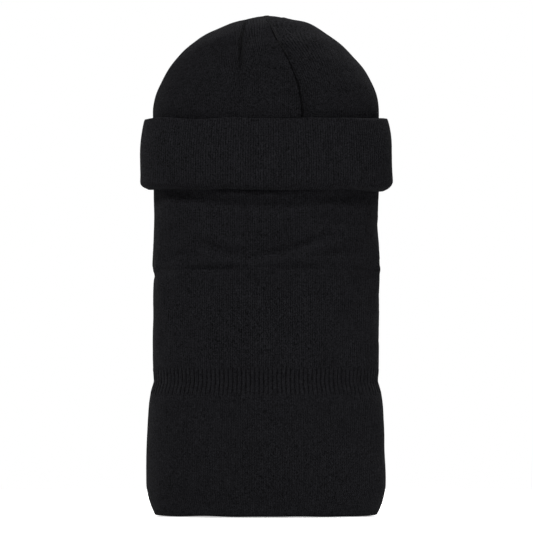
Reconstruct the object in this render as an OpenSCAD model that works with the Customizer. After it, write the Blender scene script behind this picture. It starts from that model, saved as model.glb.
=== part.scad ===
// Knitted balaclava: a cuffed beanie crown with a neck tube, a face opening and a bib.
//
// Frame: +Z runs from the hem to the crown, +Y points out of the face opening, and +X is the
// wearer's right. The origin is the centre of the neck opening, in the plane of the hem's edge.
// Every knitted ring is drawn round, then flattened front to back by depth_ratio, so a radius
// in this file is a half width across X.

/* [Overall] */
// Height of the crown's tip above the hem
total_h = 499.5; // [470:0.5:520]
// Depth of every ring as a share of its width
depth_ratio = 0.48; // [0.42:0.01:0.6]
// Thickness of one knitted layer, measured across X
knit_t = 2.6; // [2:0.1:3]
// Gap between layers that lie against each other, measured across X
layer_gap = 0.3; // [0.3:0.05:0.6]

/* [Crown] */
// Half width of the crown where the cuff goes round it
brow_w = 113; // [112.8:0.1:114]
// Height at which the crown starts to round over
dome_z = 404; // [395:1:420]
// Roundness of the dome: 2 is an ellipse, less is more pointed
dome_power = 1.8; // [1.5:0.1:2.4]
// Height of the ends of the darts above the hem
dart_end_z = 444; // [430:1:455]
// Width of a sewn dart's seam allowance
dart_w = 3; // [2:0.5:5]

/* [Cuff] */
// Height of the cuff's lower fold above the hem
cuff_z = 326; // [320:1:332]
// Height of the cuff
cuff_h = 73; // [60:1:76]
// Half width of the cuff near its lower fold
cuff_w = 126.4; // [125:0.1:130]
// Half width of the cuff at its top edge
cuff_top_w = 124.6; // [124:0.1:128]
// Radius of the cuff's rounded outer edges
cuff_edge_r = 5; // [3:0.5:5]

/* [Neck tube and face opening] */
// Half width of the neck tube
tube_w = 112.5; // [111:0.1:112.8]
// Height of the face opening's lower edge above the hem
mouth_z = 246; // [235:1:255]
// Angle from the side of the head to each side edge of the face opening
opening_angle = 20; // [12:1:30]
// Height of the rolled rim along the mouth panel's top
rim_h = 14; // [8:1:16]
// Height of the coarse ribbed neck band
neck_rib_h = 28; // [20:1:32]

/* [Bib] */
// Height of the bib, from the hem's edge to the neck band
bib_h = 120.5; // [110:0.5:121]
// Half width of the bib at its widest
bib_w = 119.5; // [118:0.1:122]
// Half width of the bib at its top edge
bib_top_w = 116.2; // [116:0.1:117.5]
// Half width of the bib at the hem's edge
hem_w = 111.8; // [110:0.1:113]
// Height of the turned-up facing inside the hem
hem_facing_h = 12; // [8:1:13]

/* [Care label] */
// Width of the care label
label_w = 26; // [15:1:35]
// Length of the care label
label_l = 38; // [25:1:45]
// Thickness of the care label
label_t = 0.6; // [0.4:0.1:1]

/* [Hidden] */

RING_FN = 96;             // smoothness of a knitted ring
ARC_STEPS = 6;            // steps in a rounded edge
DOME_STEPS = 14;          // steps up the dome
BIB_STEPS = 12;           // steps up the bib
KNIT = "#1a1a1c";         // black yarn
KNIT_INSIDE = "#242427";  // the back of the knit
THREAD = "#303034";       // sewing thread
SATIN = "#3c3c40";        // care label

dome_h = total_h - dome_z;
dart_t = 2.5;                                    // thickness of a dart's seam allowance
seam_layer = knit_t + layer_gap;                 // inset of the dart seams behind the crown's face
lining_layer = seam_layer + dart_t + layer_gap;  // inset of the lining
lining_t = knit_t * 0.85;                        // the lining is a finer knit than the crown
neck_rib_z = bib_h + layer_gap;                  // lower edge of the neck band
tube_z = neck_rib_z + neck_rib_h + layer_gap;    // lower edge of the neck tube
brow_z = cuff_z + 4;                             // where the crown ends and the tube is linked on
tube_top_z = brow_z - 2;
cuff_inner_w = brow_w + 2.5;                     // the cuff clears the crown, so that it can slide
cuff_split_w = (cuff_inner_w + cuff_w) / 2 - 0.6;  // where the cuff's outer layer meets its inner one
cuff_fold_t = 5;                                 // thickness of the fold along the cuff's lower edge
bib_t = 2.4;                                     // thickness of the bib's knit
hem_lift = 1.5;                                  // the hem's facing stops short of the hem's edge
front_from = opening_angle;                      // the face opening, as an angle from +X
front_sweep = 180 - 2 * opening_angle;
back_from = 180 - opening_angle;
back_sweep = 180 + 2 * opening_angle;
rim_side_angle = 3.2;                            // how far a side rim reaches round the opening
mouth_from = opening_angle + rim_side_angle + 1; // where the mouth panel starts, as an angle from +X
rim_z = mouth_z - rim_h;                         // lower edge of the mouth panel's rolled rim

// Points round an arc in the (half width, height) plane.
function arc(cx, cz, r, from, to) =
    [for (i = [0:ARC_STEPS]) let (a = from + (to - from) * i / ARC_STEPS) [cx + r * cos(a), cz + r * sin(a)]];

// A point on the dome, set in from the crown's face, at angle a from its base to its tip.
function dome_point(inset, a) =
    [(brow_w - inset) * pow(cos(a), 2 / dome_power), dome_z + (dome_h - inset) * pow(sin(a), 2 / dome_power)];

// The crown's outline from height z0 up to its tip.
function crown_outline(inset, z0) =
    concat([[brow_w - inset, z0]], [for (i = [0:DOME_STEPS]) dome_point(inset, 90 * i / DOME_STEPS)]);

// Half width of the bib's face at height z: it swells above the hem and draws in at the neck.
function bib_outline_w(z) =
    let (swell_z = 32, draw_z = 75)
    z < swell_z ? bib_w - (bib_w - hem_w) * pow(1 - z / swell_z, 1.6)
    : z > draw_z ? bib_w - (bib_w - bib_top_w) * pow((z - draw_z) / (bib_h - draw_z), 1.3)
    : bib_w;

function reversed(list) = [for (i = [len(list) - 1:-1:0]) list[i]];

// A stretch of a knitted ring: a section turned round Z and flattened.
module arc_of_ring(section, from, sweep) {
    scale([1, depth_ratio, 1])
        rotate([0, 0, from])
            rotate_extrude(angle = sweep, $fn = RING_FN)
                polygon(section);
}

// A closed ring, knitted as a front half and a back half.
module closed_ring(section) {
    for (from = [0, 180])
        arc_of_ring(section, from, 180);
}

// The section of a straight-sided band between two half widths and two heights.
function band(w_in, w_out, z0, z1) = [[w_in, z0], [w_out, z0], [w_out, z1], [w_in, z1]];

// The section of a cap between two insets from the crown's face, open below at height z0.
function cap(inset_out, inset_in, z0) =
    concat(crown_outline(inset_out, z0), reversed(crown_outline(inset_in, z0)));

// The seam allowance of one dart, behind the crown's face. It runs from x_top near the crown's tip
// to x_end at the dart's end, across the back half of the crown (from = 180) or the front half (from = 0).
module dart_seam(x_top, x_end, from) {
    z_top = total_h - 12;
    lean = atan((x_end - x_top) / (z_top - dart_end_z));
    color(THREAD) intersection() {
        arc_of_ring(cap(seam_layer, seam_layer + dart_t, dart_end_z - 1), from, 180);
        translate([x_end, 0, dart_end_z])
            rotate([0, -lean, 0])
                translate([-dart_w / 2, -brow_w, 0])
                    cube([dart_w, 2 * brow_w, (z_top - dart_end_z) / cos(lean)]);
    }
}

module crown() {
    color(KNIT) closed_ring(cap(0, knit_t, brow_z));
}

module crown_lining() {
    color(KNIT_INSIDE) closed_ring(cap(lining_layer, lining_layer + lining_t, brow_z + 1));
}

// The knot that closes the crown where the darts meet, between the crown and its lining.
module crown_tip_tack() {
    color(THREAD) translate([0, 0, total_h - lining_layer + layer_gap])
        cylinder(r = 2.4, h = dart_t - layer_gap, $fn = 32);
}

// The row of linking stitches that joins the neck tube to the crown, hidden by the cuff.
module brow_seam() {
    color(THREAD)
        arc_of_ring(band(tube_w - knit_t, tube_w, tube_top_z + layer_gap, brow_z - layer_gap), back_from, back_sweep);
}

// The rolled edge along the top of the face opening, just inside the cuff's fold.
module brow_rim() {
    r = 2.3;
    w = brow_w - 1.5;
    z = brow_z - 3.3;
    top_z = brow_z - layer_gap;
    color(KNIT) arc_of_ring(concat([[w - r, top_z]], arc(w, z, r, -180, 0), [[w + r, top_z]]), front_from, front_sweep);
}

module back_panel() {
    color(KNIT) arc_of_ring(band(tube_w - knit_t, tube_w, tube_z, tube_top_z), back_from, back_sweep);
}

// The front of the neck tube, below the face opening.
module mouth_panel() {
    color(KNIT)
        arc_of_ring(band(tube_w - knit_t, tube_w, tube_z, rim_z), mouth_from, 180 - 2 * mouth_from);
}

// The rolled top edge of the mouth panel. It slides up and down inside the panel.
module mouth_rim() {
    w_out = tube_w - knit_t - 0.7;
    w_in = w_out - 4.6;
    r = 2.2;
    from = mouth_from + 0.3;
    section = concat([[w_in, rim_z], [w_out, rim_z]],
        arc(w_out - r, mouth_z - r, r, 0, 90), arc(w_in + r, mouth_z - r, r, 90, 180));
    color(KNIT) arc_of_ring(section, from, 180 - 2 * from);
}

// The flat seam where the mouth panel meets the back panel, under a side rim.
module side_seam(from) {
    color(KNIT) arc_of_ring(band(tube_w - knit_t - 0.8, tube_w + 0.4, tube_z, rim_z), from, rim_side_angle + 0.4);
}

// The folded upright edge of the back panel beside the face opening.
module side_rim(from) {
    color(KNIT) arc_of_ring(band(tube_w - 4, tube_w + 1.2, rim_z + 1, tube_top_z - 4), from, rim_side_angle);
}

// Dense stitches at the two lower corners of the face opening, from each side rim down over the seam.
module corner_tacks() {
    tack_h = 8;
    sweep = 1.8;
    z = rim_z - 3;
    right_from = front_from + 1;
    for (from = [right_from, 180 - right_from - sweep])
        color(THREAD) arc_of_ring(band(tube_w + 1.5, tube_w + 2.4, z, z + tack_h), from, sweep);
}

module neck_rib() {
    w = tube_w - 0.6;
    rib_t = knit_t * 1.4;
    color(KNIT) closed_ring(band(w - rib_t, w, neck_rib_z, neck_rib_z + neck_rib_h));
}

// The cuff's outer layer, with the fold that closes it below. Its two outer edges are rounded.
module cuff_face() {
    r = cuff_edge_r;
    fold_z = cuff_z + cuff_fold_t;
    top_z = cuff_z + cuff_h;
    color(KNIT) closed_ring(concat([[cuff_inner_w, cuff_z]],
        arc(cuff_w - r, cuff_z + r, r, -90, 0), arc(cuff_top_w - r, top_z - r, r, 0, 80),
        [[cuff_split_w, top_z], [cuff_split_w, fold_z], [cuff_inner_w, fold_z]]));
}

module cuff_lining() {
    color(KNIT_INSIDE)
        closed_ring(band(cuff_inner_w, cuff_split_w - layer_gap, cuff_z + cuff_fold_t + layer_gap, cuff_z + cuff_h - 1));
}

// The section of a layer that follows the bib, between two insets and over the given heights.
function bib_layer(inset_out, inset_in, heights) =
    concat([for (z = heights) [bib_outline_w(z) - inset_out, z]],
        reversed([for (z = heights) [bib_outline_w(z) - inset_in, z]]));

module bib() {
    heights = [for (i = [0:BIB_STEPS]) bib_h * (0.5 - 0.5 * cos(180 * i / BIB_STEPS))];
    color(KNIT) closed_ring(bib_layer(0, bib_t, heights));
}

// The turned-up layer inside the hem.
module hem_facing() {
    heights = [for (i = [0:4]) hem_lift + hem_facing_h * i / 4];
    color(KNIT_INSIDE) closed_ring(bib_layer(bib_t + layer_gap, bib_t + layer_gap + 2, heights));
}

// The thread that holds the top of the hem's facing.
module hem_linking() {
    z = hem_lift + hem_facing_h + layer_gap;
    color(THREAD) closed_ring(bib_layer(bib_t + layer_gap, bib_t + layer_gap + 1.6, [z, z + 1]));
}

label_y = -(tube_w - knit_t) * depth_ratio + 2.6;  // the label hangs just off the back panel
label_top_z = tube_top_z - 4;

// A blank woven label that hangs from its sewn top edge, inside the back of the hood.
module care_label() {
    color(SATIN) translate([-label_w / 2, label_y, label_top_z - label_l])
        cube([label_w, label_t, label_l]);
}

// The two tacks that hold the label's corners.
module label_tacks() {
    tack = 3;
    for (x = [-label_w / 2 + 1, label_w / 2 - 1 - tack])
        color(THREAD) translate([x, label_y - 1, label_top_z + 0.5])
            cube([tack, 1.6, 1.2]);
}

crown();
crown_lining();
crown_tip_tack();
dart_seam(-22, -26.5, 180);  // dart_seam_back_left
dart_seam(6, 27, 180);  // dart_seam_back_right
dart_seam(-22, -26.5, 0);  // dart_seam_front_left
dart_seam(22, 26.5, 0);  // dart_seam_front_right
brow_seam();
brow_rim();
back_panel();
mouth_panel();
side_seam(back_from - rim_side_angle - 0.6);  // side_seam_left
side_seam(front_from + 0.2);  // side_seam_right
side_rim(back_from - rim_side_angle - 0.1);  // side_rim_left
side_rim(front_from + 0.1);  // side_rim_right
corner_tacks();
neck_rib();
label_tacks();
cuff_face();
cuff_lining();
mouth_rim();
bib();
hem_facing();
hem_linking();
care_label();
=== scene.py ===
"""The looks of a black knitted balaclava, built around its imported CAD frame.

Every knitted piece is a closed section swept round the head, with its wales, ribs, folds and darts in
the mesh. The neck tube is settled by a cloth simulation. The camera looks along +Y, at the back.
"""
import math

import bpy
import numpy as np
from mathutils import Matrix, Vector


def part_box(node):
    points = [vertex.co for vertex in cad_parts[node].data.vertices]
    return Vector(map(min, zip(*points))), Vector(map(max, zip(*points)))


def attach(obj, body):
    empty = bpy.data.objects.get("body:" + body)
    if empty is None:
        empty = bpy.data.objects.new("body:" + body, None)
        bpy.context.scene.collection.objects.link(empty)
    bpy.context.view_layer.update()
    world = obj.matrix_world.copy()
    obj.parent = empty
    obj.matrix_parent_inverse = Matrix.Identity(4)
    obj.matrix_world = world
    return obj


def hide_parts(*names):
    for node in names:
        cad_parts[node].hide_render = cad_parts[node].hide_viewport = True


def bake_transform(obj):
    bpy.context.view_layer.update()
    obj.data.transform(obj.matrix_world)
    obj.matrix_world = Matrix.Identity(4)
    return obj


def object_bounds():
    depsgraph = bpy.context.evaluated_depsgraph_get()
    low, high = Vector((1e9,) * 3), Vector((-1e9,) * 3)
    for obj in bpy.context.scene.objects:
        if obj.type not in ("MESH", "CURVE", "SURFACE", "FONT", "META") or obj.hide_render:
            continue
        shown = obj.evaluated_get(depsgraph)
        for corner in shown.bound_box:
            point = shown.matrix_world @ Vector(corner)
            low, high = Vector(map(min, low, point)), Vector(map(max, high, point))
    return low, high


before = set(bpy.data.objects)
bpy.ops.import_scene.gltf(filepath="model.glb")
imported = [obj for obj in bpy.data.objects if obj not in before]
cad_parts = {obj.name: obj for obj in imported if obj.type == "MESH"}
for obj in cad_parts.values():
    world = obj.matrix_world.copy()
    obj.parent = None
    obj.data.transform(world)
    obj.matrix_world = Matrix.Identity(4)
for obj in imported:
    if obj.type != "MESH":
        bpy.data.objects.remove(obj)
cad_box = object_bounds()

MM = 0.001

# ---- Driving sizes, all from the frame ----

crown_lo, crown_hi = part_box("crown")
cuff_lo, cuff_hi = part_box("cuff_face")
back_lo, back_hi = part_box("back_panel")
rim_lo, rim_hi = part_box("mouth_rim")
brow_lo, brow_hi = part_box("brow_rim")
neck_lo, neck_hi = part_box("neck_rib")
bib_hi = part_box("bib")[1]
linking_lo, linking_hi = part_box("hem_linking")
label_lo, label_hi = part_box("care_label")
side_lo, side_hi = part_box("side_rim_right")
seam_lo, seam_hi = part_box("brow_seam")
tack_lo, tack_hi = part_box("corner_tacks")

RATIO = crown_hi.y / crown_hi.x  # every ring's depth as a share of its width
CROWN_W = crown_hi.x             # half widths
TUBE_W = back_hi.x
CUFF_W = cuff_hi.x
CUFF_IN_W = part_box("cuff_lining")[1].x
BIB_W = bib_hi.x
TOP_Z = crown_hi.z               # heights
BROW_Z = crown_lo.z
DOME_Z = BROW_Z + 74 * MM
CUFF_Z = cuff_lo.z
CUFF_TOP_Z = cuff_hi.z
TUBE_Z = back_lo.z
RIM_Z = rim_hi.z
RIM_LOW_Z = rim_lo.z
BIB_TOP_Z = bib_hi.z
FACING_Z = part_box("hem_facing")[1].z

KNIT_T = 2.4 * MM                # one layer of knit, measured across X
TUBE_WALES = 244                 # wales round a whole ring
CUFF_WALES = 240
CROWN_WALES = 268
NECK_RIBS = TUBE_WALES // 2      # each rib is two of the tube's wales, drawn together
COURSE = 1.55 * MM               # height of one course of stitches
RELIEF = 0.34 * MM               # height of a wale above the valleys beside it
CUFF_RELIEF = 0.38 * MM          # the same on the cuff, where the knit is stretched
FINE_RELIEF = 0.26 * MM          # and on the crown and the bib, where it lies flatter

# ---- Rings: the way round is a share of the perimeter, from +X through +Y ----


def points_at(*axes):
    """Points from arrays of their coordinates, of any shapes that fit each other."""
    return np.stack(np.broadcast_arrays(*axes), -1)


def coordinates(points):
    """The x, y and z of an array of points."""
    return np.moveaxis(points, -1, 0)


def smooth(t):
    """0 to 1, easing at both ends."""
    t = np.clip(t, 0, 1)
    return t * t * (3 - 2 * t)


def ease(distance, reach):
    """0 to 1 over a distance, easing at both ends."""
    return smooth(distance / reach)


def hump(distance, width):
    """1 at no distance, falling off on both sides."""
    return np.exp(-((distance / width) ** 2))


def running(steps):
    """The running totals of the steps, from 0."""
    return np.concatenate([[0], np.cumsum(steps)])


def unit(vectors):
    return vectors / np.maximum(np.linalg.norm(vectors, axis=-1, keepdims=True), 1e-12)


ring_angles = np.linspace(0, 2 * math.pi, 4097)
ring_steps = np.hypot(np.diff(np.cos(ring_angles)), RATIO * np.diff(np.sin(ring_angles)))
ring_lengths = running(ring_steps)
ring_shares = ring_lengths / ring_lengths[-1]
PERIMETER = ring_lengths[-1]     # of a ring with a half width of 1


def share_at(degrees):
    """The share of the way round at an angle from +X."""
    turns = math.floor(degrees / 360)
    return turns + float(np.interp(math.radians(degrees % 360), ring_angles, ring_shares))


def ring_points(shares, half_widths, heights):
    """A grid of points: one row for each half width and height, one column for each share."""
    angle = np.interp(np.asarray(shares) % 1.0, ring_shares, ring_angles)
    w, z = (np.asarray(axis)[:, None] for axis in (half_widths, heights))
    return points_at(w * np.cos(angle), w * RATIO * np.sin(angle), z)


def shares_of(points):
    """The share of the way round at each point."""
    angle = np.arctan2(points[..., 1] / RATIO, points[..., 0]) % (2 * math.pi)
    return np.interp(angle, ring_angles, ring_shares)


def outward(points):
    """Level unit vectors out of the ring through each point."""
    nx, ny = points[..., 0] * RATIO * RATIO, points[..., 1]
    length = np.maximum(np.hypot(nx, ny), 1e-9)
    return points_at(nx / length, ny / length, 0)


def ripple(points, length, seed, waves=9):
    """Soft irregular waves of about this length through space, mostly within -1 to 1."""
    rng = np.random.default_rng(seed)
    total = np.zeros(points.shape[:-1])
    for _ in range(waves):
        direction = rng.normal(size=3)
        direction /= np.linalg.norm(direction)
        k = 2 * math.pi / (length * rng.uniform(0.7, 1.4))
        total += np.sin(k * (points @ direction) + rng.uniform(0, 2 * math.pi))
    return total / math.sqrt(waves / 2) * 0.6


def crease(x, z, start, end, sag, width, depth):
    """How far a soft fold moves the cloth in. It sags between two points of a face, given in mm, and
    fades at its ends. Its lower side is a sharp step and its upper side a long slope, as cloth hangs."""
    (x0, z0), (x1, z1) = start, end
    length = math.hypot(x1 - x0, z1 - z0)
    ux, uz = (x1 - x0) / length, (z1 - z0) / length
    x, z = x / MM, z / MM
    along = ((x - x0) * ux + (z - z0) * uz) / length
    line = np.clip(along, 0, 1)
    across = (z - z0) * ux - (x - x0) * uz + sag * 4 * line * (1 - line)
    fade = ease(along + 0.12, 0.4) * ease(1.12 - along, 0.4)
    roll = 0.8 * hump(across - 1.9 * width, 1.5 * width)
    return depth * MM * fade * (roll - hump(across, width))


# ---- Outlines ----

FLARE_Z = 134 * MM               # where the neck band starts to open into the bib
FLARE_LENGTH = 24 * MM
HEM_ROLL_Z = 32 * MM             # where the bib starts to draw in to its hem
HEM_ROLL_W = 9 * MM
CORNER_TURN = 25                 # degrees by which an outline turns at a corner that is kept,
SHARP_TURN = 60                  # and at one that is shaded as a sharp edge
NECK_MID_Z = (neck_lo.z + neck_hi.z) / 2


def body_w(z):
    """Half width of the tube, the neck band and the bib at a height."""
    z = np.asarray(z, float)
    w = TUBE_W + 0.5 * MM
    flare = 1 - np.exp(-np.maximum(FLARE_Z - z, 0) / FLARE_LENGTH)
    pinch = 1.1 * MM * hump(z - NECK_MID_Z, 10 * MM)
    return w + flare * (BIB_W - w) - pinch - hem_roll(z)


def hem_roll(z):
    """How far the hem draws in at the sides."""
    return HEM_ROLL_W * np.clip(1 - z / HEM_ROLL_Z, 0, 1) ** 1.7


def wall(z0, z1, thickness=KNIT_T, inset=0.0, steps=24, edges=(0, 0), width=body_w):
    """The closed outline of a layer between two heights, with its lower and upper edges rounded."""
    low, high = edges
    partway = np.array([0.5, 1])
    z = np.concatenate([np.linspace(z0, z1, steps + 1), z0 + low * partway, z1 - high * partway])
    z = np.unique(np.round(z, 7))
    tuck = np.zeros(len(z))
    for reach, from_end in ((low, z - z0), (high, z1 - z)):
        if reach:
            tuck += 0.35 * thickness * np.clip(1 - from_end / reach, 0, 1) ** 2
    outer = np.stack([width(z) - inset - tuck, z], 1)
    inner = np.stack([width(z) - inset - thickness + tuck, z], 1)[::-1]
    return np.vstack([outer, inner])


def upright(half_width):
    """The width, for wall, of a layer that stands upright."""
    return lambda z: np.full_like(z, half_width)


def resample(outline, spacing_out, spacing_in):
    """Points along a closed outline of (half width, height), closer where it faces out, with its corners
    kept, and whether each is a sharp corner."""
    step = np.roll(outline, -1, axis=0) - outline
    heading = np.arctan2(step[:, 1], step[:, 0])
    turn = np.abs((heading - np.roll(heading, 1) + math.pi) % (2 * math.pi) - math.pi)
    corners = np.flatnonzero(turn > math.radians(CORNER_TURN))
    if not len(corners):
        corners = np.array([0])
    points, sharp = [], []
    for start, end in zip(corners, np.append(corners[1:], corners[0] + len(outline))):
        stretch = outline[np.arange(start, end + 1) % len(outline)]
        rise = np.diff(stretch, axis=0)
        climbs = rise[:, 1] > 0.3 * np.abs(rise[:, 0])
        weight = np.linalg.norm(rise, axis=1) / np.where(climbs, spacing_out, spacing_in)
        weight = running(weight)
        count = max(1, round(weight[-1]))
        at = np.arange(count) / count * weight[-1]
        points.append(np.stack([np.interp(at, weight, axis) for axis in stretch.T], 1))
        sharp.append((np.arange(count) == 0) & (turn[start] > math.radians(SHARP_TURN)))
    return np.vstack(points), np.concatenate(sharp)


def rounded(outline, passes=3):
    """A closed outline with its corners cut back into curves."""
    points = np.array(outline, float)
    for _ in range(passes):
        after = np.roll(points, -1, axis=0)
        points = np.stack([0.75 * points + 0.25 * after, 0.25 * points + 0.75 * after], 1).reshape(-1, 2)
    return points


# ---- Meshes ----


def grid_normals(grid, wrap_rows, wrap_columns):
    """Unit normals of a grid of points: outwards where its rows rise and its columns run anticlockwise."""
    def slope(axis, wrap):
        if wrap:
            return np.roll(grid, -1, axis) - np.roll(grid, 1, axis)
        return np.gradient(grid, axis=axis)
    return unit(np.cross(slope(1, wrap_columns), slope(0, wrap_rows)))


def add_object(name, data, place=(0, 0, 0), turn=(0, 0, 0)):
    if isinstance(data, bpy.types.Mesh):
        data.polygons.foreach_set("use_smooth", np.ones(len(data.polygons), bool))
    added = bpy.data.objects.new(name, data)
    added.location = place
    added.rotation_euler = turn
    bpy.context.scene.collection.objects.link(added)
    return added


def grid_mesh(name, grid, knit, relief, wrap_rows=True, wrap_columns=True, poles=False,
              sharp_rows=(), sharp_columns=()):
    """A mesh from a grid of points. knit is the (wale, course) of each point, with one more row and
    column than the grid where that wraps. relief is how far each point stands out, 0 to 1, less any
    painted fold shade; the knit's materials paint low points darker as shade. poles closes the first and
    last rows to a point. The sharp rows and columns lie on a sharp corner."""
    rows, columns = grid.shape[:2]
    vertices = grid.reshape(-1, 3)
    relief = relief.ravel()
    row, column = np.meshgrid(np.arange(rows if wrap_rows else rows - 1),
                              np.arange(columns if wrap_columns else columns - 1), indexing="ij")
    row, column = row.ravel(), column.ravel()

    def corner(r, c):
        return (r % rows) * columns + (c % columns)
    turns = ((0, 0), (0, 1), (1, 1), (1, 0))
    loops = [np.stack([corner(row + up, column + on) for up, on in turns], 1).ravel()]
    maps = [np.stack([knit[row + up, column + on] for up, on in turns], 1).reshape(-1, 2)]
    sizes = [np.full(len(row), 4)]
    if poles:
        vertices = np.vstack([vertices, grid[0].mean(0), grid[-1].mean(0)])
        relief = np.append(relief, [0.5, 0.5])
        c = np.arange(columns)
        for tip, r, first in ((0, 0, 1), (1, rows - 1, 0)):
            tips = np.full(columns, rows * columns + tip)
            loops.append(np.stack([tips, corner(r, c + first), corner(r, c + 1 - first)], 1).ravel())
            maps.append(np.repeat(knit[r, :columns], 3, axis=0))
            sizes.append(np.full(columns, 3))
    if not wrap_columns:
        for ring, c in ((np.arange(rows)[::-1], 0), (np.arange(rows), columns - 1)):
            loops.append(corner(ring, c)[::-1])
            maps.append(knit[ring, c][::-1])
            sizes.append(np.array([rows]))
    loops, maps, sizes = map(np.concatenate, (loops, maps, sizes))
    mesh = bpy.data.meshes.new(name)
    mesh.vertices.add(len(vertices))
    mesh.loops.add(len(loops))
    mesh.polygons.add(len(sizes))
    mesh.vertices.foreach_set("co", vertices.astype(np.float32).ravel())
    mesh.loops.foreach_set("vertex_index", loops.astype(np.int32))
    mesh.polygons.foreach_set("loop_start", np.concatenate([[0], np.cumsum(sizes)[:-1]]).astype(np.int32))
    mesh.update(calc_edges=True)
    mesh.uv_layers.new(name="knit").data.foreach_set("uv", maps.astype(np.float32).ravel())
    # The relief attribute drives the knit's painted shade in its valleys and folds.
    mesh.attributes.new("relief", "FLOAT", "POINT").data.foreach_set("value", relief.astype(np.float32))
    ends = np.empty(2 * len(mesh.edges), np.int32)
    mesh.edges.foreach_get("vertices", ends)
    ends = ends.reshape(-1, 2)
    sharp = np.zeros(len(ends), bool)
    for place, listed in ((ends // columns, sharp_rows), (ends % columns, sharp_columns)):
        sharp |= (place[:, 0] == place[:, 1]) & np.isin(place[:, 0], listed)
    sharp &= ends.max(1) < rows * columns
    mesh.attributes.new("sharp_edge", "BOOLEAN", "EDGE").data.foreach_set("value", sharp)
    mesh.validate()
    return add_object(name, mesh)


def courses_along(outline):
    """The course at each point of an outline, as a column."""
    return running(np.linalg.norm(np.diff(outline, axis=0), axis=1))[:, None] / COURSE


wale_size = np.random.default_rng(7).uniform(0.88, 1.0, 512)


def ridges(wale, z=None):
    """Rounded ridges, one a wale and each a little different: 0 to 1."""
    return np.abs(np.sin(math.pi * wale)) * wale_size[np.floor(wale).astype(int) % len(wale_size)]


def lumps(shape, seed):
    """Uneven stitches: small lumps that run on a little along each wale."""
    noise = np.random.default_rng(seed).normal(size=shape)
    return (noise + np.roll(noise, 1, 0) + 0.5 * np.roll(noise, 1, 1)) / 2


def stand_out(grid, wrap_rows, wrap_columns, relief, depth, seed):
    """Raises the relief out of a plain grid. The knit's inner side is flatter."""
    normals = grid_normals(grid, wrap_rows, wrap_columns)
    out = (normals * outward(grid)).sum(-1)
    strength = np.where(out > 0, 1.0, 0.55) * np.clip(2 * np.abs(out), 0, 1)
    height = relief - 2 / math.pi + 0.09 * lumps(relief.shape, seed)
    return grid + normals * (depth * strength * height)[..., None]


def knit_ring(name, outline, wales, depth=RELIEF, per_wale=4, sweep=None, shape=None,
              spacing=(2.6 * MM, 6 * MM), profile=ridges):
    """A knitted ring, or the sweep (first share, last share) of one, from a closed outline. shape moves
    the plain grid, and the wales then stand out of it by depth."""
    outline, sharp = resample(np.array(outline, float), *spacing)
    wrap = sweep is None
    if wrap:
        columns = wales * per_wale
        shares = np.arange(columns) / columns
        first, last = 0, wales
    else:
        first, last = sweep[0] * wales, sweep[1] * wales
        columns = max(2, round((last - first) * per_wale)) + 1
        shares = np.linspace(sweep[0], sweep[1], columns)
    grid = ring_points(shares, outline[:, 0], outline[:, 1])
    relief = np.broadcast_to(profile(shares[None, :] * wales, outline[:, 1:]), grid.shape[:2])
    if shape:
        grid = shape(grid)
    grid = stand_out(grid, True, wrap, relief, depth, len(name))
    courses = courses_along(np.vstack([outline, outline[:1]]))
    knit = points_at(np.linspace(first, last, columns + wrap), courses)
    return grid_mesh(name, grid, knit, relief, wrap_columns=wrap, sharp_rows=np.flatnonzero(sharp))


# ---- Drape: how the cloth of the tube, the bib and the cuff lies ----

OPENING_ANGLE = math.degrees(math.atan2(side_lo.y / RATIO, side_hi.x))
RIM_ANGLE = 3.2                  # how far a side rim reaches round the opening, in degrees
RIM_GAP = 1                      # and the mouth panel starts this far past it
RIM_T = 4.6 * MM                 # a rim's thickness: knit that is folded double
BAND_T = 3.2 * MM                # the neck band's and the side seams'

# The tube's main folds, as crease takes them, from the cuff's lower edge on the back and from the mouth
# panel's rim on the front. The back's last one is the face opening's lower edge, which shows through.
RIM_DROP = (RIM_Z - CUFF_Z) / MM
BACK_FOLDS = (
    ((-98, -2), (92, -3), 14, 6.5, 4.2),
    ((-76, -48), (-26, -66), 2, 5.0, 1.7),
    ((66, -45), (-32, -73), -3, 4.8, 2.7),
    ((-100, -70), (-40, -58), -3, 5.0, 0.9),
    ((36, -26), (104, -35), 3, 6.0, 1.0),
    ((-96, RIM_DROP - 1), (104, RIM_DROP + 1), -2, 3.0, 2.1),
)
FRONT_FOLDS = (
    ((-84, -33), (66, -40), 12, 5.5, 2.2),
    ((-52, -63), (84, -57), 8, 5.5, 1.8),
)

SIM_COLUMNS = 184
SIM_ROWS = 62
SIM_FRAMES = 30
SIM_LIMIT = 4.5 * MM             # how far the simulation may move a point
UNDER_CUFF = 2.4 * MM            # how far the cuff's grip draws the back in below it
DRIFT_CELLS = 8                  # moves that are broader than this are taken out again
CLOTH = {
    "quality": 6, "mass": 0.12, "air_damping": 3, "bending_stiffness": 2, "shear_stiffness": 5,
    "tension_stiffness": 14, "compression_stiffness": 14, "tension_damping": 10, "compression_damping": 10,
    "vertex_group_mass": "held", "vertex_group_shrink": "slack", "shrink_min": -0.008, "shrink_max": -0.028,
}


def first_folds(grid):
    """How far the tube's main folds stand out."""
    x, y, z = coordinates(grid)
    back = sum(crease(x, z - CUFF_Z, *fold) for fold in BACK_FOLDS)
    front = sum(crease(x, z - RIM_Z, *fold) for fold in FRONT_FOLDS)
    return ease(-y, 20 * MM) * back + ease(y, 20 * MM) * front


def without_drift(moved):
    """Takes the broad part out of a field of moves, so that the tube keeps its size."""
    shifts = range(-DRIFT_CELLS, DRIFT_CELLS + 1)
    rows = [np.clip(np.arange(SIM_ROWS) + shift, 0, SIM_ROWS - 1) for shift in shifts]
    broad = moved
    for _ in range(2):
        broad = sum(broad[row] for row in rows) / len(shifts)
        broad = sum(np.roll(broad, shift, 1) for shift in shifts) / len(shifts)
    return moved - broad


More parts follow.
